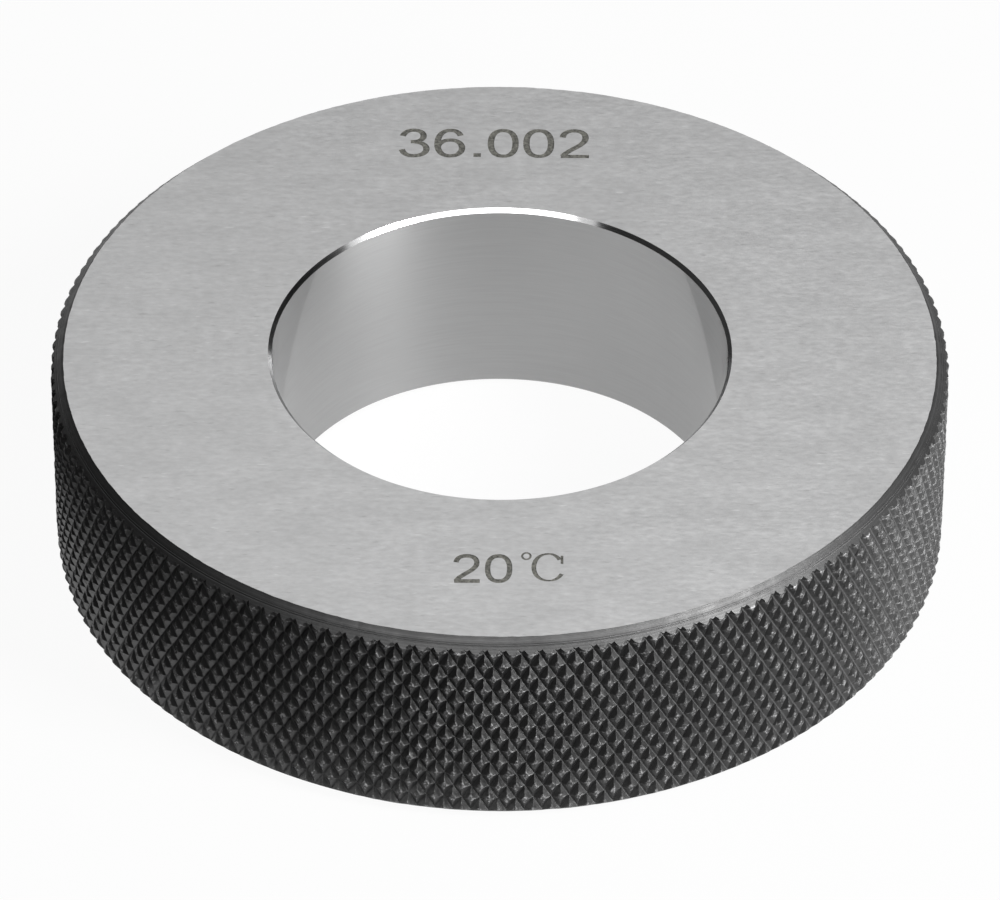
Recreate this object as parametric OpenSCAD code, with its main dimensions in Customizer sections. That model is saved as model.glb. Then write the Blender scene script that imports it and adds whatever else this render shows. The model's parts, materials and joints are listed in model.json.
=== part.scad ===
// Setting ring gauge: one turned steel ring with a finished bore, two flat faces and a diamond knurl.
// The bore runs along Z, and the origin is the centre of the lower face.

/* [Ring] */
// Width between the two flat faces
ring_width = 17.8; // [12:0.1:20]
// Diameter over the tips of the knurl
outer_diameter = 71; // [60:0.5:84]
// Leg of the 45 degree chamfer round the outside of each face
rim_chamfer = 1.1; // [0.5:0.1:2]

/* [Bore] */
// Diameter of the bore, which is the size that the gauge sets
bore_diameter = 36.002; // [20:0.001:56]
// Leg of the 45 degree chamfer at each mouth of the bore
bore_chamfer = 0.3; // [0.1:0.05:1.5]

/* [Knurl] */
// Distance from one groove to the next, measured square to the grooves
knurl_pitch = 1.2; // [1.2:0.1:2.4]
// Angle between the grooves and the axis of the ring
knurl_angle = 30; // [20:1:40]
// Depth of the grooves below the tips of the diamonds
knurl_depth = 0.4; // [0.2:0.05:0.6]

/* [Hidden] */

outer_radius = outer_diameter / 2;
bore_radius = bore_diameter / 2;
face_radius = outer_radius - rim_chamfer;
root_radius = outer_radius - knurl_depth;

// Facets of a full circle where curves are shown as straight sides
round_steps = 360;
// How far the chamfers run out past the tips, so that they cut the whole knurl
chamfer_overrun = 0.5;
overrun_radius = outer_radius + chamfer_overrun;
chamfer_reach = overrun_radius - face_radius;

// Grooves of one hand that fit round the ring, always an even number
groove_count = 2 * floor(PI * outer_diameter * cos(knurl_angle) / knurl_pitch / 2);
// Tips and groove crossings alternate on columns round the ring, two to a groove
column_count = 2 * groove_count;
column_angle = 360 / column_count;
// They alternate up the ring too, on rows this far apart
row_height = PI * outer_diameter / column_count / tan(knurl_angle);
row_count = ceil(ring_width / row_height);
// The rows are centred on the width and reach both faces
first_row_z = (ring_width - row_count * row_height) / 2;
// Share of a column's angle by which the first column stands off the X axis
first_column = 0.3;

// A tip where column and row make an even sum, and a groove crossing where they make an odd one
function is_tip(column, row) = (column + row) % 2 == 0;

function knurl_point(column, row) =
    let (
        radius = is_tip(column, row) ? outer_radius : root_radius,
        angle = (column + first_column) * column_angle
    )
    [radius * cos(angle), radius * sin(angle), first_row_z + row * row_height];

// Place of a point in the list of points, where the column after the last is the first again
function point_at(column, row) = row * column_count + column % column_count;

// The square between two columns and two rows is folded along the groove that joins its two crossings
function facets_of(column, row) =
    let (
        low_left = point_at(column, row),
        low_right = point_at(column + 1, row),
        high_right = point_at(column + 1, row + 1),
        high_left = point_at(column, row + 1)
    )
    is_tip(column, row)
        ? [[low_left, high_left, low_right], [high_right, low_right, high_left]]
        : [[low_right, low_left, high_right], [high_left, high_right, low_left]];

// The round bar before turning, with the grooves of both hands rolled into it
module knurled_bar() {
    columns = [0 : column_count - 1];
    points = [
        for (row = [0 : row_count]) for (column = columns) knurl_point(column, row),
        [0, 0, first_row_z],
        [0, 0, first_row_z + row_count * row_height]
    ];
    low_centre = column_count * (row_count + 1);
    high_centre = low_centre + 1;
    sides = [
        for (row = [0 : row_count - 1]) for (column = columns) each facets_of(column, row)
    ];
    low_end = [
        for (column = columns) [low_centre, point_at(column, 0), point_at(column + 1, 0)]
    ];
    high_end = [
        for (column = columns)
            [high_centre, point_at(column + 1, row_count), point_at(column, row_count)]
    ];
    polyhedron(points, concat(sides, low_end, high_end), convexity = 4);
}

// What turning, facing and boring leave: the bore, the two faces and their four chamfers
module turned_section() {
    polygon([
        [bore_radius, bore_chamfer],
        [bore_radius + bore_chamfer, 0],
        [face_radius, 0],
        [overrun_radius, chamfer_reach],
        [overrun_radius, ring_width - chamfer_reach],
        [face_radius, ring_width],
        [bore_radius + bore_chamfer, ring_width],
        [bore_radius, ring_width - bore_chamfer]
    ]);
}

module ring() {
    color("silver")
        intersection() {
            rotate_extrude($fn = round_steps)
                turned_section();
            knurled_bar();
        }
}

ring();
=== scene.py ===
import json
import math

import bpy
import numpy as np
from mathutils import Matrix, Vector
from mathutils.geometry import delaunay_2d_cdt


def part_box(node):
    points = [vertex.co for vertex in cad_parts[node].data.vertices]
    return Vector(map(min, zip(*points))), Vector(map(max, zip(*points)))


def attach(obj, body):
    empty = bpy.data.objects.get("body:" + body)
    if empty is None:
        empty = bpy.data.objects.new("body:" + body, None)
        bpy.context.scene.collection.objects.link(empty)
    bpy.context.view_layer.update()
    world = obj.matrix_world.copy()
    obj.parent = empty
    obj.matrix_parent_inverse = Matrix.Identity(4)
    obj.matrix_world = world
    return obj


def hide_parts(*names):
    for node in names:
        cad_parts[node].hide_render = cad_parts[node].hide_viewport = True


# A setting ring gauge. The ring's axis is Z, and its lower face lies at Z = 0. Lengths are in metres.

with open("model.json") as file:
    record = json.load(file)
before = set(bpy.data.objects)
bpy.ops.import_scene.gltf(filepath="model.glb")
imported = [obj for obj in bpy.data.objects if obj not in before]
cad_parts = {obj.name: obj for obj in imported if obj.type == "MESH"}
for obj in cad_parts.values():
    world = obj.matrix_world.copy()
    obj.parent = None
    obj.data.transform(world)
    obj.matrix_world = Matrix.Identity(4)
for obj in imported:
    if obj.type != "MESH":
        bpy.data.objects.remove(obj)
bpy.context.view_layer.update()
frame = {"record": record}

MM = 0.001
ROUND = 2 * math.pi


# Sizes that come from the frame

def mount_sizes(name):
    """The stated sizes of one of the record's mounts."""
    for mount in frame["record"]["mounts"]:
        if mount["name"] == name:
            return mount["dims"]
    raise KeyError(name)


lowest, highest = (Vector(corner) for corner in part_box("ring"))
bore = mount_sizes("bore")
RING_WIDTH = highest.z - lowest.z
TIP_RADIUS = (highest.x - lowest.x) / 2
BORE_RADIUS = bore["r_mm"] * MM
BORE_CHAMFER = (RING_WIDTH - bore["length_mm"] * MM) / 2
RIM_CHAMFER = 1.1 * MM
FACE_RADIUS = TIP_RADIUS - RIM_CHAMFER

# Knurl: grooves of both hands, about 30 degrees off the axis, that leave diamonds with small flat tops
KNURL_PITCH = 1.2 * MM
KNURL_ANGLE = math.radians(29.8)
KNURL_DEPTH = 0.29 * MM
# Height that the flanks would reach if a diamond ran up to a point
SHARP_HEIGHT = 0.44 * MM
# How far the flat tops lie inside the ring's outer radius, and how close to it any point may come
TOP_ALLOWANCE = 0.08 * MM
LEAST_ALLOWANCE = 0.01 * MM
# The diamonds of this ring lean a little to one side
KNURL_LEAN = math.radians(1.4)
# Where the first tip lies: columns past the X axis, and rows past the lowest row
KNURL_START = (0.89, -0.11)
# Share of the way from a tip to the next groove crossing at which the mesh has a line of points
STEPS = np.array([0.0, 0.34, 0.5, 0.66])

GROOVES = 2 * int(math.pi * 2 * TIP_RADIUS * math.cos(KNURL_ANGLE) / KNURL_PITCH / 2)
COLUMNS = 2 * GROOVES
COLUMN_ANGLE = ROUND / COLUMNS
ROW_HEIGHT = math.pi * TIP_RADIUS / GROOVES / math.tan(KNURL_ANGLE)
ROWS = math.ceil(RING_WIDTH / ROW_HEIGHT)
FIRST_ROW_Z = (RING_WIDTH - ROWS * ROW_HEIGHT) / 2

# Unevenness of the knurl, as standard deviations: the tops' height and their slope from one column or row
# to the next, the share of the flanks' height, and how far each point strays outwards and sideways
TOP_SPREAD = 0.018 * MM
TOP_LIMITS = (-0.05 * MM, 0.025 * MM)
TOP_SLOPE = 0.11 * MM
FLANK_SPREAD = 0.035
POINT_SPREAD = 0.010 * MM
PLACE_SPREAD = 0.012 * MM
KNURL_SEED = 71
# Rows of diamonds past either face that have a height of their own, for points near the band's edges
SPARE_ROWS = 4

# Points round the bore and round the rim
BORE_POINTS = 720
RIM_POINTS = COLUMNS * len(STEPS)

# Lines of points on the rim's chamfer, by their distance out from the face's edge, and that edge's wear
RIM_LEGS = (0.60 * MM, 0.30 * MM, 0.0)
EDGE_WEAR = 0.012 * MM
EDGE_WAVES = 480
EDGE_SEED = 5

# Marks are sunk this far below the face
MARK_DEPTH = 0.03 * MM


class Shell:
    """Collects the points, faces and materials of one mesh."""

    def __init__(self):
        self.points = []
        self.faces = []
        self.slots = []
        self.count = 0

    def add_points(self, points):
        first = self.count
        self.points.append(np.asarray(points, dtype=float))
        self.count += len(points)
        return first + np.arange(len(points))

    def add_faces(self, faces, slot):
        faces = [tuple(int(i) for i in face) for face in faces]
        self.faces.extend(faces)
        self.slots.extend([slot] * len(faces))

    def add_band(self, low, high, slot):
        """Squares between two closed loops of the same length that run anticlockwise seen from above.

        Seen from outside the solid, the band lies to the left of a walk along the low loop.
        """
        loop = np.stack([low, np.roll(low, -1), np.roll(high, -1), high], axis=1)
        self.add_faces(loop, slot)

    def all_points(self):
        return np.concatenate(self.points)


def circle(radius, angle, height):
    """Points at one height round the Z axis."""
    return np.stack([radius * np.cos(angle), radius * np.sin(angle), np.full(len(angle), height)], axis=1)


# The knurl

def knurl_height(u, v, rng):
    """Height above the grooves' floor, on a lattice with a tip wherever u and v are whole with an even sum.

    Also how far each point lies off the grooves that fall to the right, and off those that rise: 0 in such
    a groove, and 1 midway between two.
    """
    past_falling = (u + v) / 2
    past_rising = (u - v) / 2
    near_falling, near_rising = np.round(past_falling), np.round(past_rising)
    falling = 1 - 2 * np.abs(past_falling - near_falling)
    rising = 1 - 2 * np.abs(past_rising - near_rising)
    tip_u = (near_falling + near_rising).astype(int)
    tip_v = (near_falling - near_rising).astype(int)
    shape = (COLUMNS, ROWS + 1 + 2 * SPARE_ROWS)
    diamond = (tip_u % COLUMNS, (tip_v + SPARE_ROWS) % shape[1])
    top = KNURL_DEPTH + np.clip(rng.normal(0, TOP_SPREAD, shape), *TOP_LIMITS)[diamond]
    lean_u = rng.normal(0, TOP_SLOPE, shape)[diamond]
    lean_v = rng.normal(0, TOP_SLOPE, shape)[diamond]
    flank = SHARP_HEIGHT * np.minimum(falling, rising) * (1 + rng.normal(0, FLANK_SPREAD, shape)[diamond])
    crest = top + lean_u * (u - tip_u) + lean_v * (v - tip_v)
    return np.minimum(flank, crest), falling, rising


def knurl_grid():
    """Angles, radii and heights of the knurl's points, and how far each lies off either hand's grooves."""
    rng = np.random.default_rng(KNURL_SEED)
    u = (np.arange(COLUMNS)[:, None] + STEPS).ravel()
    v = (np.arange(ROWS)[:, None] + STEPS).ravel()
    u, v = np.meshgrid(u, np.append(v, ROWS))
    height, falling, rising = knurl_height(u, v, rng)
    radius = TIP_RADIUS - TOP_ALLOWANCE - KNURL_DEPTH + height + rng.normal(0, POINT_SPREAD, u.shape)
    z = FIRST_ROW_Z + (v + KNURL_START[1]) * ROW_HEIGHT + rng.normal(0, PLACE_SPREAD, u.shape)
    angle = (u + KNURL_START[0]) * COLUMN_ANGLE + math.tan(KNURL_LEAN) * z / TIP_RADIUS
    angle += rng.normal(0, PLACE_SPREAD, u.shape) / TIP_RADIUS
    return angle, np.minimum(radius, TIP_RADIUS - LEAST_ALLOWANCE), z, falling, rising


def cut_by_chamfer(angle, radius, z, falling, rising):
    """Ends every column of the grid on the two chamfer cones. Returns each column's first and last row."""
    rows, columns = radius.shape
    beyond_top = radius + z - (FACE_RADIUS + RING_WIDTH)
    beyond_low = radius - z - FACE_RADIUS
    last = np.argmax(beyond_top > 0, axis=0)
    first = rows - 1 - np.argmax(beyond_low[::-1] > 0, axis=0)
    column = np.arange(columns)
    for row, inner, beyond in ((last, last - 1, beyond_top), (first, first + 1, beyond_low)):
        share = beyond[inner, column] / (beyond[inner, column] - beyond[row, column])
        for grid in (angle, radius, z, falling, rising):
            grid[row, column] = grid[inner, column] + share * (grid[row, column] - grid[inner, column])
    return first, last


def add_knurl(shell):
    """The knurled band, which holds the mesh's first points.

    Returns the loops of points where it meets the lower and the upper chamfer, and how far its points lie
    off the grooves of either hand.
    """
    angle, radius, z, falling, rising = knurl_grid()
    first, last = cut_by_chamfer(angle, radius, z, falling, rising)
    rows, columns = radius.shape
    grid = np.stack([radius * np.cos(angle), radius * np.sin(angle), z], axis=-1)
    shell.add_points(grid.reshape(-1, 3))
    row = np.clip(np.arange(rows)[:, None], first, last)
    ids = row * columns + np.arange(columns)
    low, low_right = ids[:-1], np.roll(ids[:-1], -1, axis=1)
    high, high_right = ids[1:], np.roll(ids[1:], -1, axis=1)
    # Each square is folded the way its nearest groove runs
    square_row, square_column = np.indices(low.shape) // len(STEPS)
    falls = (square_row + square_column) % 2 == 0
    corners = (low, low_right, high_right, high)
    fold_falling = ((0, 1, 3), (1, 2, 3))
    fold_rising = ((0, 1, 2), (0, 2, 3))
    for mask, folds in ((falls, fold_falling), (~falls, fold_rising)):
        for fold in folds:
            one, two, three = (corners[k][mask] for k in fold)
            real = (one != two) & (two != three) & (three != one)
            shell.add_faces(np.stack([one, two, three], axis=1)[real], "knurl")
    return ids[0], ids[-1], falling.ravel(), rising.ravel()


# The chamfers and the bore

def smooth_noise(count, waves, size, seed):
    """A wavy line that closes on itself, through knots of random height."""
    knots = np.random.default_rng(seed).normal(0, size, waves)
    place = np.arange(count) * waves / count
    left = place.astype(int) % waves
    share = place - np.floor(place)
    share = share * share * (3 - 2 * share)
    return knots[left] * (1 - share) + knots[(left + 1) % waves] * share


def add_rim_chamfer(shell, edge, upper):
    """From the loop where the knurl ends to the edge of a face. Returns the face's outer loop."""
    points = shell.all_points()[edge]
    angle = np.arctan2(points[:, 1], points[:, 0])
    wear = smooth_noise(RIM_POINTS, EDGE_WAVES, EDGE_WEAR, EDGE_SEED + upper)
    for leg in RIM_LEGS:
        radius = FACE_RADIUS + leg + (wear if leg == 0 else 0)
        height = RING_WIDTH - leg if upper else leg
        loop = shell.add_points(circle(radius, angle, height))
        low, high = (edge, loop) if upper else (loop, edge)
        shell.add_band(low, high, "rim_chamfer")
        edge = loop
    return edge


def add_bore(shell):
    """The bore and its chamfers. Returns the inner loops of the lower and the upper face."""
    mouth = BORE_RADIUS + BORE_CHAMFER
    profile = (
        (mouth, 0.0),
        (BORE_RADIUS, BORE_CHAMFER),
        (BORE_RADIUS, RING_WIDTH - BORE_CHAMFER),
        (mouth, RING_WIDTH),
    )
    angle = np.arange(BORE_POINTS) * ROUND / BORE_POINTS
    loops = [shell.add_points(circle(radius, angle, height)) for radius, height in profile]
    for low, high, slot in zip(loops, loops[1:], ("bore_chamfer", "bore", "bore_chamfer")):
        shell.add_band(high, low, slot)
    return loops[0], loops[-1]


# The marks on the upper face

def bezier(start, *segments, steps=10):
    """Points along joined cubic curves, each segment two handles and an end."""
    points = [np.array(start, dtype=float)]
    share = np.linspace(0, 1, steps + 1)[1:, None]
    rest = 1 - share
    for segment in segments:
        one, two, end = (np.array(point) for point in segment)
        near = rest**3 * points[-1] + 3 * rest**2 * share * one
        far = 3 * rest * share**2 * two + share**3 * end
        points.extend(near + far)
    return np.array(points)


def oval(power=2.0, steps=44):
    """A closed rounded outline that touches the sides of the unit square."""
    angle = np.arange(steps) * ROUND / steps
    x = np.sign(np.cos(angle)) * np.abs(np.cos(angle)) ** (2 / power)
    y = np.sign(np.sin(angle)) * np.abs(np.sin(angle)) ** (2 / power)
    return np.stack([x, y], axis=1) / 2 + 0.5


TWO_BOW = bezier(
    (0.02, 0.74),
    ((0.05, 0.93), (0.25, 1.0), (0.48, 1.0)),
    ((0.78, 1.0), (0.95, 0.90), (0.95, 0.73)),
    ((0.95, 0.56), (0.74, 0.44), (0.48, 0.31)),
    ((0.22, 0.18), (0.08, 0.10), (0.03, 0.01)),
)
TWO_FOOT = np.array([(-0.06, 0.0), (1.08, 0.0)])
THREE_UPPER = bezier(
    (0.03, 0.77),
    ((0.10, 0.93), (0.28, 1.0), (0.45, 1.0)),
    ((0.72, 1.0), (0.88, 0.91), (0.88, 0.78)),
    ((0.88, 0.62), (0.68, 0.55), (0.36, 0.55)),
)
THREE_LOWER = bezier(
    (0.36, 0.55),
    ((0.76, 0.55), (1.0, 0.45), (1.0, 0.27)),
    ((1.0, 0.10), (0.76, 0.0), (0.48, 0.0)),
    ((0.22, 0.0), (0.06, 0.08), (0.0, 0.25)),
)
SIX = bezier(
    (0.94, 0.79),
    ((0.88, 0.93), (0.72, 1.0), (0.54, 1.0)),
    ((0.20, 1.0), (0.0, 0.80), (0.0, 0.46)),
    ((0.0, 0.17), (0.20, 0.0), (0.50, 0.0)),
    ((0.80, 0.0), (1.0, 0.13), (1.0, 0.31)),
    ((1.0, 0.50), (0.80, 0.62), (0.52, 0.62)),
    ((0.28, 0.62), (0.08, 0.52), (0.02, 0.38)),
)
LETTER_C = bezier(
    (0.93, 0.78),
    ((0.84, 0.92), (0.70, 1.0), (0.53, 1.0)),
    ((0.22, 1.0), (0.0, 0.78), (0.0, 0.49)),
    ((0.0, 0.20), (0.22, 0.0), (0.53, 0.0)),
    ((0.73, 0.0), (0.88, 0.08), (1.0, 0.25)),
)

# The strokes of each glyph: middle lines in the unit square, with whether the line closes
STROKES = {
    "0": [(oval(2.35), True)],
    "2": [(TWO_BOW, False), (TWO_FOOT, False)],
    "3": [(THREE_UPPER, False), (THREE_LOWER, False)],
    "6": [(SIX, False)],
    "C": [(LETTER_C, False)],
    "serif": [(np.array([(0.5, 0.0), (0.5, 1.0)]), False)],
    "degree": [(oval(2.0, 24), True)],
    ".": [(np.array([(0.5, -0.3), (0.5, 1.3)]), False)],
}

# The bore's size at the back of the face, in millimetres. A box is the lower edge, width and height of a
# glyph, and its pen is as thick as the first number on upright and the second on level parts
SIZE_LEFTS = (-8.32, -5.43, -2.24, -1.08, 1.81, 4.72)
DIGIT_BOX, DIGIT_PEN = (24.88, 2.52, 3.84), (0.52, 0.43)
POINT_BOX, POINT_PEN = (24.92, 0.61, 0.60), (0.61, 0.30)
# The reference temperature at the front: each glyph with its left edge, box and pen
HEAT_MARKS = (
    ("2", -3.52, (-28.16, 2.12, 3.39), (0.41, 0.43)),
    ("0", -1.07, (-28.16, 2.09, 3.39), (0.41, 0.43)),
    ("degree", 1.68, (-25.46, 0.82, 0.94), (0.17, 0.18)),
    ("C", 2.48, (-27.95, 2.49, 3.33), (0.36, 0.18)),
    ("serif", 4.72, (-25.88, 0.20, 0.97), (0.20, 0.0)),
)


def stroke_loops(line, closed, pen):
    """Outline of a stroke drawn with a pen as thick as pen[0] on upright and pen[1] on level parts."""
    if closed:
        along = np.roll(line, -1, axis=0) - np.roll(line, 1, axis=0)
    else:
        along = np.gradient(line, axis=0)
    along /= np.linalg.norm(along, axis=1)[:, None]
    half = np.hypot(pen[0] * along[:, 1], pen[1] * along[:, 0])[:, None] / 2
    side = np.stack([-along[:, 1], along[:, 0]], axis=1) * half
    if closed:
        return [line + side, (line - side)[::-1]]
    return [np.concatenate([line + side, (line - side)[::-1]])]


def glyph_loops(glyph, left, box, pen):
    """The strokes of one mark, each as a list of closed loops in metres."""
    base, width, height = box
    inset = np.array(pen) / 2
    low = np.array([left, base]) + inset
    size = np.array([width, height]) - 2 * inset
    drawn = [stroke_loops(low + line * size, closed, pen) for line, closed in STROKES[glyph]]
    return [[loop * MM for loop in loops] for loops in drawn]


def mark_strokes():
    """The strokes of the bore's size and of the reference temperature."""
    size = f"{2 * bore['r_mm']:.3f}"
    strokes = []
    for glyph, left in zip(size, SIZE_LEFTS):
        box, pen = (POINT_BOX, POINT_PEN) if glyph == "." else (DIGIT_BOX, DIGIT_PEN)
        strokes += glyph_loops(glyph, left, box, pen)
    for mark in HEAT_MARKS:
        strokes += glyph_loops(*mark)
    return strokes


def inside(points, loops):
    """Which points the loops wind round. A hole's loop runs the other way round."""
    turns = np.zeros(len(points), dtype=int)
    x, y = points[:, 0], points[:, 1]
    for loop in loops:
        for (x0, y0), (x1, y1) in zip(loop, np.roll(loop, -1, axis=0)):
            if y0 == y1:
                continue
            crosses = (y0 > y) != (y1 > y)
            beyond = crosses & (x < x0 + (y - y0) * (x1 - x0) / (y1 - y0))
            turns[beyond] += 1 if y1 > y0 else -1
    return turns != 0


def fill_flat(loops):
    """Triangles of the plane with every loop kept as edges.

    Returns their corners, the triangles, and the loops' points that each corner stands for.
    """
    flat, edges = [], []
    for loop in loops:
        first = len(flat)
        flat.extend(Vector(point / MM) for point in loop)
        edges.extend((first + k, first + (k + 1) % len(loop)) for k in range(len(loop)))
    found = delaunay_2d_cdt(flat, edges, [], 0, 1e-6)
    corners = np.array([tuple(corner) for corner in found[0]]) * MM
    return corners, np.array(found[2]), found[3]


def add_face(shell, outer, inner, upper):
    """A flat face between two loops of points. The upper one holds the sunk marks."""
    points = shell.all_points()
    strokes = mark_strokes() if upper else []
    rim_loops = [points[outer, :2], points[inner, :2]]
    corners, triangles, sources = fill_flat(rim_loops + [loop for stroke in strokes for loop in stroke])
    middle = corners[triangles].mean(axis=1)
    on_face = inside(middle, rim_loops[:1]) & ~inside(middle, rim_loops[1:])
    triangles, middle = triangles[on_face], middle[on_face]
    sunk = np.zeros(len(triangles), dtype=bool)
    for stroke in strokes:
        sunk |= inside(middle, stroke)
    # The rim's and the bore's points are already in the mesh
    known = np.concatenate([outer, inner])
    ids = np.full(len(corners), -1)
    for corner, source in enumerate(sources):
        rim = [k for k in source if k < len(known)]
        if rim:
            ids[corner] = known[rim[0]]
    fresh = np.flatnonzero(ids < 0)
    level = RING_WIDTH if upper else 0.0
    ids[fresh] = shell.add_points(np.column_stack([corners[fresh], np.full(len(fresh), level)]))
    plain = ids[triangles[~sunk]]
    shell.add_faces(plain if upper else plain[:, ::-1], "face")
    if upper:
        add_marks(shell, corners, ids, triangles[sunk])


def add_marks(shell, corners, ids, triangles):
    """The sunk floors of the marks and the low walls round them."""
    used = np.unique(triangles)
    floor = np.full(len(corners), -1)
    level = np.full(len(used), RING_WIDTH - MARK_DEPTH)
    floor[used] = shell.add_points(np.column_stack([corners[used], level]))
    shell.add_faces(floor[triangles], "marks")
    sides = np.concatenate([triangles[:, [0, 1]], triangles[:, [1, 2]], triangles[:, [2, 0]]])
    seen = {tuple(side) for side in sides.tolist()}
    for start, end in sides.tolist():
        if (end, start) not in seen:
            shell.add_faces([(ids[start], ids[end], floor[end], floor[start])], "marks")


# Nodes of the materials

def add(tree, kind, inputs=None, **settings):
    """A new node with its settings. An input is given by name or number, as a value or a socket to link."""
    node = tree.nodes.new(kind)
    for name, value in settings.items():
        setattr(node, name, value)
    for name, value in (inputs or {}).items():
        if isinstance(value, bpy.types.NodeSocket):
            tree.links.new(value, node.inputs[name])
        else:
            node.inputs[name].default_value = value
    return node


def new_material(name):
    """A node material with its shader, ready for inputs."""
    material = bpy.data.materials.new(name)
    material.use_nodes = True
    return material, material.node_tree, material.node_tree.nodes["Principled BSDF"]


def empty_material(name):
    """A node material with no nodes yet."""
    material = bpy.data.materials.new(name)
    material.use_nodes = True
    material.node_tree.nodes.clear()
    return material, material.node_tree


def connect(tree, shader, **inputs):
    """Sets or links the shader's inputs, whose names are written here with low lines for spaces."""
    for name, value in inputs.items():
        socket = shader.inputs[name.replace("_", " ")]
        if isinstance(value, bpy.types.NodeSocket):
            tree.links.new(value, socket)
        else:
            socket.default_value = value


def object_place(tree):
    """Where a point lies on the object, in metres."""
    return add(tree, "ShaderNodeTexCoord").outputs["Object"]


def noise_at(tree, where, detail, roughness):
    """A noise value between 0 and 1, with features about one unit wide."""
    inputs = {"Vector": where, "Scale": 1.0, "Detail": detail, "Roughness": roughness}
    return add(tree, "ShaderNodeTexNoise", inputs).outputs["Fac"]


def noise(tree, scale, detail, roughness):
    """Noise over the object, with a scale in features per metre, the same all ways or one for each axis."""
    scales = scale if isinstance(scale, tuple) else (scale, scale, scale)
    scaled = add(tree, "ShaderNodeMapping", {"Vector": object_place(tree), "Scale": scales})
    return noise_at(tree, scaled.outputs["Vector"], detail, roughness)


def spread(tree, value, low, high, to_low, to_high):
    """A value moved from one range to another, and held within it."""
    inputs = {"Value": value, "From Min": low, "From Max": high, "To Min": to_low, "To Max": to_high}
    return add(tree, "ShaderNodeMapRange", inputs).outputs["Result"]


def math_node(tree, operation, *values):
    return add(tree, "ShaderNodeMath", dict(enumerate(values)), operation=operation).outputs[0]


def plus(tree, one, two):
    return math_node(tree, "ADD", one, two)


def minus(tree, one, two):
    return math_node(tree, "SUBTRACT", one, two)


def times(tree, one, two):
    return math_node(tree, "MULTIPLY", one, two)


def larger(tree, one, two):
    return math_node(tree, "MAXIMUM", one, two)


def apart(tree, one, two):
    """How far two values lie from each other."""
    return math_node(tree, "ABSOLUTE", minus(tree, one, two))


def grey(tree, value, tint=(1.0, 1.0, 1.0)):
    """A colour of one brightness, with a slight tint."""
    scaled = add(tree, "ShaderNodeVectorMath", {0: tint, "Scale": value}, operation="SCALE")
    return scaled.outputs["Vector"]


def length_of(tree, vector):
    return add(tree, "ShaderNodeVectorMath", {0: vector}, operation="LENGTH").outputs["Value"]


def part_of(tree, vector, axis):
    """The X, Y or Z of a vector."""
    return add(tree, "ShaderNodeSeparateXYZ", {"Vector": vector}).outputs[axis]


def bump(tree, height, distance):
    inputs = {"Height": height, "Distance": distance, "Strength": 1.0}
    return add(tree, "ShaderNodeBump", inputs).outputs["Normal"]


def axis_distance(tree):
    """Distance from the ring's axis, in metres."""
    inputs = {0: object_place(tree), 1: (1, 1, 0)}
    flat = add(tree, "ShaderNodeVectorMath", inputs, operation="MULTIPLY").outputs["Vector"]
    return length_of(tree, flat)


# Materials

STEEL_TINT = (0.998, 1.0, 1.004)
BLACK_TINT = (1.0, 1.0, 1.01)
MARK_TINT = (1.0, 0.99, 0.88)
# Turned grooves on the blackened chamfers, counted along the ring's radius
GROOVES_PER_METRE = 6500.0


def ground_steel():
    """The faces: ground and lapped, with soft level blotches and sparse short marks, dark and light."""
    material, tree, shader = new_material("ground_steel")
    blotches = noise(tree, (1100, 2600, 1), 3.0, 0.6)
    patches = noise(tree, (160, 380, 1), 2.0, 0.5)
    fine = noise(tree, (2600, 12000, 1), 2.0, 0.5)
    marks = noise(tree, (900, 4200, 1), 1.0, 0.4)
    drift = spread(tree, patches, 0.3, 0.7, -0.02, 0.02)
    light = plus(tree, spread(tree, blotches, 0.25, 0.75, 0.472, 0.575), drift)
    light = plus(tree, light, spread(tree, marks, 0.68, 0.78, 0.0, 0.08))
    light = plus(tree, light, spread(tree, marks, 0.22, 0.32, -0.08, 0.0))
    connect(
        tree, shader,
        Base_Color=grey(tree, light, STEEL_TINT),
        Metallic=1.0,
        Roughness=plus(tree, spread(tree, blotches, 0.3, 0.7, 0.30, 0.40), drift),
        Normal=bump(tree, plus(tree, blotches, fine), 0.004 * MM),
    )
    return material


def honed_steel():
    """The bore: honed to a soft mirror, with faint short marks round it."""
    material, tree, shader = new_material("honed_steel")
    lines = noise(tree, (250, 250, 9000), 3.0, 0.6)
    clouds = noise(tree, (130, 130, 60), 2.0, 0.5)
    drift = spread(tree, clouds, 0.2, 0.8, -0.02, 0.02)
    light = plus(tree, spread(tree, lines, 0.3, 0.7, 0.465, 0.50), drift)
    around = add(tree, "ShaderNodeTangent", direction_type="RADIAL", axis="Z").outputs["Tangent"]
    connect(
        tree, shader,
        Base_Color=grey(tree, light, STEEL_TINT),
        Metallic=1.0,
        Roughness=0.34,
        Anisotropic=0.80,
        Anisotropic_Rotation=0.25,
        Tangent=around,
        Coat_Weight=1.0,
        Coat_IOR=2.6,
        Coat_Roughness=0.03,
    )
    return material


def bright_chamfer():
    """The chamfers at the mouths of the bore: cut bright, with faint turned lines."""
    material, tree, shader = new_material("bright_chamfer")
    lines = noise(tree, (60, 60, 12000), 2.0, 0.5)
    connect(
        tree, shader,
        Base_Color=grey(tree, spread(tree, lines, 0.3, 0.7, 0.54, 0.58), STEEL_TINT),
        Metallic=1.0,
        Roughness=spread(tree, lines, 0.3, 0.7, 0.10, 0.13),
    )
    return material


def turned_line(tree, radius, leg, half_width):
    """1 on a circle that lies one leg out from the face's edge, and 0 away from it."""
    return spread(tree, apart(tree, radius, FACE_RADIUS + leg), 0.4 * half_width, half_width, 1.0, 0.0)


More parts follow.
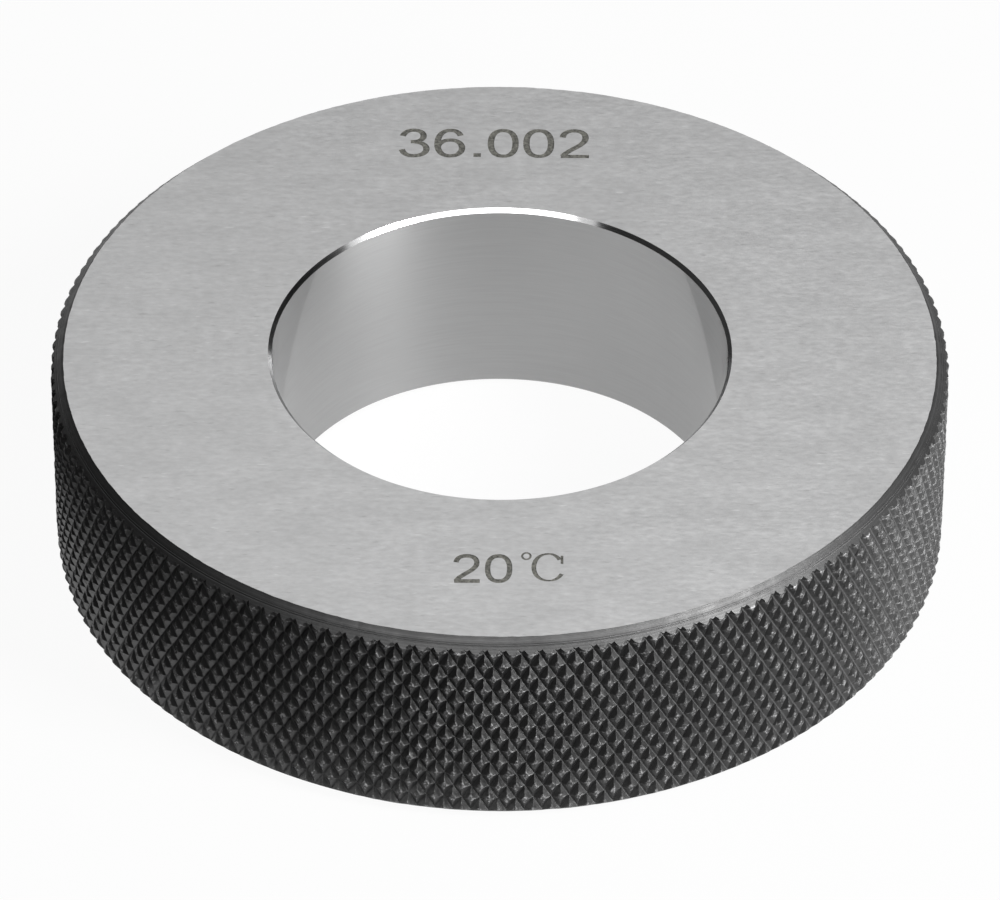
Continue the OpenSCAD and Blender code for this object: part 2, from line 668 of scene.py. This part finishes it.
def turned_grooves(tree, radius):
    """Fine grooves round the ring that wander a little and break off in places."""
    wander = times(tree, noise(tree, 60, 2.0, 0.5), 0.10 * MM)
    across = times(tree, plus(tree, radius, wander), GROOVES_PER_METRE)
    where = add(tree, "ShaderNodeCombineXYZ", {"X": across}).outputs["Vector"]
    broken = spread(tree, noise(tree, 700, 3.0, 0.6), 0.3, 0.7, -0.12, 0.12)
    return plus(tree, noise_at(tree, where, 4.0, 0.65), broken)


def blackened_chamfer():
    """The chamfers round the faces: turned, then blackened, so fine grooves run round them."""
    material, tree, shader = new_material("blackened_chamfer")
    radius = axis_distance(tree)
    lines = turned_grooves(tree, radius)
    edge_line = times(tree, turned_line(tree, radius, 0.05 * MM, 0.08 * MM), 0.5)
    thin_line = times(tree, turned_line(tree, radius, 0.43 * MM, 0.03 * MM), 0.6)
    deep_line = turned_line(tree, radius, 0.54 * MM, 0.05 * MM)
    dark = larger(tree, deep_line, plus(tree, edge_line, thin_line))
    bright = times(tree, turned_line(tree, radius, 0.26 * MM, 0.05 * MM), 0.012)
    light = plus(tree, spread(tree, lines, 0.3, 0.7, 0.006, 0.040), bright)
    light = minus(tree, light, times(tree, dark, 0.012))
    spots = times(tree, noise(tree, 3500, 3.0, 0.6), 0.25)
    height = minus(tree, plus(tree, lines, spots), times(tree, dark, 0.8))
    connect(
        tree, shader,
        Base_Color=grey(tree, light, BLACK_TINT),
        Roughness=spread(tree, lines, 0.3, 0.7, 0.48, 0.32),
        Specular_IOR_Level=0.5,
        Normal=bump(tree, height, 0.024 * MM),
    )
    return material


def below_chamfer(tree):
    """How far a point of the knurl lies below the cone of the upper chamfer, along the ring's radius."""
    height = part_of(tree, object_place(tree), "Z")
    return minus(tree, FACE_RADIUS + RING_WIDTH, plus(tree, axis_distance(tree), height))


def diamond_tops(tree, falling, rising):
    """1 on a diamond's flat top, less on the ridges that run down from it, and 0 on its flanks."""
    rise = math_node(tree, "MINIMUM", falling, rising)
    along_ridge = spread(tree, apart(tree, falling, rising), 0.03, 0.14, 1.0, 0.0)
    ridge = times(tree, along_ridge, spread(tree, rise, 0.15, 0.5, 0.0, 0.45))
    return larger(tree, spread(tree, rise, 0.50, 0.76, 0.0, 1.0), ridge)


def rolled_burrs(tree, top):
    """Bright metal in patches along the tops' edge with the upper chamfer."""
    edge = spread(tree, below_chamfer(tree), 0.03 * MM, 0.16 * MM, 0.60, 0.0)
    patches = spread(tree, noise(tree, 900, 2.0, 0.5), 0.52, 0.62, 0.0, 1.0)
    return times(tree, times(tree, top, edge), patches)


def blackened_knurl():
    """The knurl: blackened, with smooth flanks, torn tops rubbed to bright specks, and a painted highlight
    along the floors of the grooves that fall to the right.
    """
    material, tree, shader = new_material("blackened_knurl")
    falling = add(tree, "ShaderNodeAttribute", attribute_name="falling").outputs["Fac"]
    rising = add(tree, "ShaderNodeAttribute", attribute_name="rising").outputs["Fac"]
    top = diamond_tops(tree, falling, rising)
    grain = noise(tree, 5200, 4.0, 0.65)
    torn = times(tree, top, spread(tree, grain, 0.42, 0.60, 0.010, 0.115))
    # Painted highlight: the floors of the grooves that fall to the right are made paler, standing in for
    # light that reaches into them
    painted_groove_highlight = spread(tree, falling, 0.06, 0.13, 0.080, 0.0)
    rubbed = times(tree, top, spread(tree, noise(tree, 5200, 2.0, 0.5), 0.55, 0.61, 0.0, 1.0))
    light = plus(tree, plus(tree, torn, 0.012), painted_groove_highlight)
    light = plus(tree, light, times(tree, rubbed, 0.33))
    light = plus(tree, light, rolled_burrs(tree, top))
    relief = times(tree, grain, spread(tree, top, 0.0, 1.0, 0.25, 1.0))
    connect(
        tree, shader,
        Base_Color=grey(tree, light, BLACK_TINT),
        Metallic=times(tree, rubbed, 0.8),
        Roughness=spread(tree, top, 0.0, 1.0, 0.33, 0.52),
        Specular_IOR_Level=1.0,
        Normal=bump(tree, relief, 0.06 * MM),
    )
    return material


def etched_mark():
    """The marks: etched grey, a little warm, with a fine uneven grain."""
    material, tree, shader = new_material("etched_mark")
    grain = noise(tree, 4200, 3.0, 0.6)
    connect(
        tree, shader,
        Base_Color=grey(tree, spread(tree, grain, 0.3, 0.7, 0.05, 0.25), MARK_TINT),
        Roughness=0.6,
        Specular_IOR_Level=0.3,
        Normal=bump(tree, grain, 0.01 * MM),
    )
    return material


MATERIALS = {
    "knurl": blackened_knurl,
    "rim_chamfer": blackened_chamfer,
    "face": ground_steel,
    "bore": honed_steel,
    "bore_chamfer": bright_chamfer,
    "marks": etched_mark,
}

# Faces that meet at more than this angle keep a hard edge between them
HARD_EDGE = math.radians(24)


# The ring

def make_mesh(name, shell, values):
    """A mesh of the points that faces use, with a named value for each of the shell's first points."""
    points = shell.all_points()
    used = np.unique(np.concatenate([np.array(face) for face in shell.faces]))
    new_id = np.full(len(points), -1)
    new_id[used] = np.arange(len(used))
    faces = [tuple(new_id[list(face)].tolist()) for face in shell.faces]
    mesh = bpy.data.meshes.new(name)
    mesh.from_pydata(points[used].tolist(), [], faces)
    slots = list(MATERIALS)
    for slot in slots:
        mesh.materials.append(MATERIALS[slot]())
    mesh.polygons.foreach_set("material_index", [slots.index(slot) for slot in shell.slots])
    for value_name, first_values in values.items():
        padded = np.pad(first_values, (0, len(points) - len(first_values)), constant_values=1.0)
        mesh.attributes.new(value_name, "FLOAT", "POINT").data.foreach_set("value", padded[used])
    mesh.shade_smooth()
    mesh.set_sharp_from_angle(angle=HARD_EDGE)
    mesh.update()
    return mesh


def new_object(name, data):
    """An object in the scene."""
    thing = bpy.data.objects.new(name, data)
    bpy.context.collection.objects.link(thing)
    return thing


def make_ring():
    """The whole ring as one closed mesh."""
    shell = Shell()
    low_rim, high_rim, falling, rising = add_knurl(shell)
    low_outer = add_rim_chamfer(shell, low_rim, False)
    high_outer = add_rim_chamfer(shell, high_rim, True)
    low_inner, high_inner = add_bore(shell)
    add_face(shell, high_outer, high_inner, True)
    add_face(shell, low_outer, low_inner, False)
    mesh = make_mesh("ring_body", shell, {"falling": falling, "rising": rising})
    return new_object("ring_body", mesh)


# Studio

# The table lies just below the ring, so that no two surfaces share a plane
TABLE_LEVEL = -0.02 * MM
TABLE_HALF = 3.0
# How pale the table is to the camera, and as a source of bounced light
TABLE_SHADE_SEEN = 0.82
TABLE_SHADE_BOUNCED = 0.18
# Share of the table's look that is plain white whatever falls on it: for the camera, in reflections from
# the left to the right of the ring, and in reflections of the part inside the bore, left to right too.
# The reflected shares carry painted shade: round the ring the table shows darker towards the right, and
# inside the bore darker towards the left, as a painted shadow of the ring
PLAIN_WHITE_SEEN = 0.95
MIRRORED_WHITE_WITH_PAINTED_SHADE = (0.72, 0.44)
BORE_FLOOR_WHITE_WITH_PAINTED_SHADE = (0.44, 0.50)
# How far the change from left to right reaches outside the bore
MIRRORED_REACH = 2 * TIP_RADIUS
# Strength of the even light that comes from all round
EVEN_LIGHT = 0.06
WHITE = (1, 1, 1, 1)

# Each lamp: its name, place, width, height and radiance, and whether it lights matt surfaces too
LAMPS = (
    ("key_lamp", (0.41, -0.24, 0.43), 0.18, 0.18, 34.0, True),
    ("low_lamp", (0.51, -0.28, 0.13), 0.36, 0.25, 10.0, True),
    ("top_lamp", (0.09, -0.45, 0.62), 0.96, 0.26, 4.6, False),
    ("side_lamp", (0.42, 0.06, 0.70), 0.45, 0.25, 18.0, False),
)

# Round the table stands a grey screen. It is given by angles from the right, anticlockwise seen from above,
# and at each by the angles above the horizon between which it stands
SCREEN_RADIUS = 1.0
SCREEN_SHADE = 0.17
SCREEN_EDGES = (
    (-125, 0, 26), (-60, 0, 26), (-20, 0, 34), (-8, 0, 37), (0, 1, 38), (40, 2, 38), (60, 2, 31),
    (110, 0, 31), (140, 0, 36), (165, 0, 58), (205, 0, 62), (215, 0, 50), (222, 0, 30), (235, 0, 26),
)
# A dark sheet lies on the table round the ring's front and left, between these angles and radii. Only
# reflections
# show it: it is a painted dark reflection of the table, which the camera sees pale there
DARK_SHEET_ANGLES = (-38, -200)
DARK_SHEET_RADII = (0.040, 0.90)
DARK_SHEET_STEPS = 24
DARK_SHEET_SHADE = 0.09


def seen_white(tree, seen, mirrored):
    """How much of a surface shows as plain white: one share to the camera, another in metal and glass."""
    path = add(tree, "ShaderNodeLightPath").outputs
    mirror = larger(tree, path["Is Glossy Ray"], path["Is Transmission Ray"])
    return plus(tree, times(tree, path["Is Camera Ray"], seen), times(tree, mirror, mirrored))


def table_white(tree):
    """The share of plain white over the table. In reflections it carries painted shade: darker towards the
    right round the ring, and darker towards the left inside the bore, as a painted shadow of the ring.
    """
    where = object_place(tree)
    across = part_of(tree, where, "X")
    # Painted shade on the table in reflections: inside the bore darker to the left, round the ring darker
    # to the right
    painted_shade_in_bore = spread(tree, across, -BORE_RADIUS, BORE_RADIUS, *BORE_FLOOR_WHITE_WITH_PAINTED_SHADE)
    painted_shade_round_ring = spread(tree, across, -MIRRORED_REACH, MIRRORED_REACH, *MIRRORED_WHITE_WITH_PAINTED_SHADE)
    outside = spread(tree, length_of(tree, where), BORE_RADIUS, TIP_RADIUS, 0.0, 1.0)
    mirrored = add(tree, "ShaderNodeMix", {0: outside, 2: painted_shade_in_bore, 3: painted_shade_round_ring}).outputs[0]
    return seen_white(tree, PLAIN_WHITE_SEEN, mirrored)


def make_table():
    """A large pale table top that keeps a faint shadow of the ring."""
    material, tree = empty_material("pale_table")
    seen = add(tree, "ShaderNodeLightPath").outputs["Is Camera Ray"]
    colour = grey(tree, spread(tree, seen, 0.0, 1.0, TABLE_SHADE_BOUNCED, TABLE_SHADE_SEEN))
    paper = add(tree, "ShaderNodeBsdfDiffuse", {"Color": colour}).outputs[0]
    white = add(tree, "ShaderNodeEmission", {"Color": WHITE, "Strength": 1.0}).outputs[0]
    mixed = add(tree, "ShaderNodeMixShader", {0: table_white(tree), 1: paper, 2: white}).outputs[0]
    add(tree, "ShaderNodeOutputMaterial", {"Surface": mixed})
    corners = [(-1, -1), (1, -1), (1, 1), (-1, 1)]
    mesh = bpy.data.meshes.new("table_top")
    mesh.from_pydata([(x * TABLE_HALF, y * TABLE_HALF, 0) for x, y in corners], [], [(0, 1, 2, 3)])
    mesh.materials.append(material)
    table = new_object("table_top", mesh)
    table.location.z = TABLE_LEVEL


def make_world():
    """White to the camera and in reflections, and an even soft grey light on everything else."""
    world = bpy.data.worlds.new("studio")
    bpy.context.scene.world = world
    world.use_nodes = True
    tree = world.node_tree
    tree.nodes.clear()
    even = add(tree, "ShaderNodeBackground", {"Color": WHITE, "Strength": EVEN_LIGHT}).outputs[0]
    white = add(tree, "ShaderNodeBackground", {"Color": WHITE, "Strength": 1.0}).outputs[0]
    share = seen_white(tree, 1.0, 1.0)
    mixed = add(tree, "ShaderNodeMixShader", {0: share, 1: even, 2: white}).outputs[0]
    add(tree, "ShaderNodeOutputWorld", {"Surface": mixed})


def soft_box(name, place, width, height, radiance, lights_matt):
    """A rectangular soft lamp that faces the ring. Without lights_matt, it shows in reflections only."""
    lamp = bpy.data.lights.new(name, "AREA")
    lamp.shape = "RECTANGLE"
    lamp.size = width
    lamp.size_y = height
    lamp.energy = radiance * math.pi * width * height
    box = new_object(name, lamp)
    towards_ring = Vector((0, 0, RING_WIDTH / 2)) - Vector(place)
    box.location = place
    box.rotation_euler = towards_ring.to_track_quat("-Z", "Y").to_euler()
    box.visible_camera = False
    box.visible_diffuse = lights_matt


def matt_cloth(name, shade):
    material, tree = empty_material(name)
    cloth = add(tree, "ShaderNodeBsdfDiffuse", {"Color": (shade, shade, shade, 1)}).outputs[0]
    add(tree, "ShaderNodeOutputMaterial", {"Surface": cloth})
    return material


def on_circle(radius, degrees, height):
    """A point at an angle from the X axis, as plain numbers."""
    return (radius * math.cos(math.radians(degrees)), radius * math.sin(math.radians(degrees)), height)


def make_strip(name, points, shade):
    """A strip of the studio through pairs of points, which only reflections show."""
    squares = [(k, k + 2, k + 3, k + 1) for k in range(0, len(points) - 2, 2)]
    mesh = bpy.data.meshes.new(name)
    mesh.from_pydata(points, [], squares)
    mesh.materials.append(matt_cloth(name, shade))
    strip = new_object(name, mesh)
    strip.visible_camera = False
    strip.visible_diffuse = False
    strip.visible_shadow = False
    strip.visible_transmission = False


def make_grey_screen():
    """A dark grey screen all round, as in product photography."""
    points = []
    for around, low, high in SCREEN_EDGES:
        for edge in (low, high):
            height = SCREEN_RADIUS * math.tan(math.radians(edge))
            points.append(on_circle(SCREEN_RADIUS, around, height))
    make_strip("grey_screen", points, SCREEN_SHADE)


def make_painted_dark_reflection():
    """A dark sheet on the table, close to the ring, which the knurl's lower flanks mirror. It is a painted
    dark reflection: only reflections show it, and the camera sees the table pale there.
    """
    points = []
    for around in np.linspace(*DARK_SHEET_ANGLES, DARK_SHEET_STEPS):
        points += [on_circle(radius, around, TABLE_LEVEL / 2) for radius in DARK_SHEET_RADII]
    make_strip("painted_dark_reflection", points, DARK_SHEET_SHADE)


def make_studio():
    """The table, the light from all round, the lamps, the dark surroundings and a painted dark reflection
    of the table.
    """
    make_table()
    make_world()
    for lamp in LAMPS:
        soft_box(*lamp)
    make_grey_screen()
    # A painted dark reflection of the table round the ring's front and left
    make_painted_dark_reflection()


# Camera fitted to the outlines of the bore and the faces in the photo

PICTURE_WIDTH = 1000
CAMERA_DISTANCE = 0.6511
CAMERA_ELEVATION = math.radians(39.67)
CAMERA_ROLL = math.radians(0.27)
FOCAL_PIXELS = 8257
SENSOR_WIDTH = 36.0
# The picture's middle lies this far below the middle of the upper face, along the picture
PICTURE_DROP = 7.84 * MM


def make_camera():
    """A camera in front of the ring that looks down on it at the photo's angle."""
    data = bpy.data.cameras.new("camera")
    data.sensor_fit = "HORIZONTAL"
    data.sensor_width = SENSOR_WIDTH
    data.lens = FOCAL_PIXELS / PICTURE_WIDTH * SENSOR_WIDTH
    data.clip_start = 0.01
    data.clip_end = 20
    camera = new_object("camera", data)
    back = Vector((0, -math.cos(CAMERA_ELEVATION), math.sin(CAMERA_ELEVATION)))
    right = Vector((1, 0, 0))
    up = back.cross(right)
    turned_right = right * math.cos(CAMERA_ROLL) + up * math.sin(CAMERA_ROLL)
    turned_up = up * math.cos(CAMERA_ROLL) - right * math.sin(CAMERA_ROLL)
    place = Vector((0, 0, RING_WIDTH)) + back * CAMERA_DISTANCE - turned_up * PICTURE_DROP
    axes = Matrix((turned_right, turned_up, back)).transposed().to_4x4()
    camera.matrix_world = Matrix.Translation(place) @ axes
    bpy.context.scene.camera = camera


ring = make_ring()
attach(ring, "root")
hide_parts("ring")

make_studio()
make_camera()
bpy.context.scene.view_settings.view_transform = "Standard"
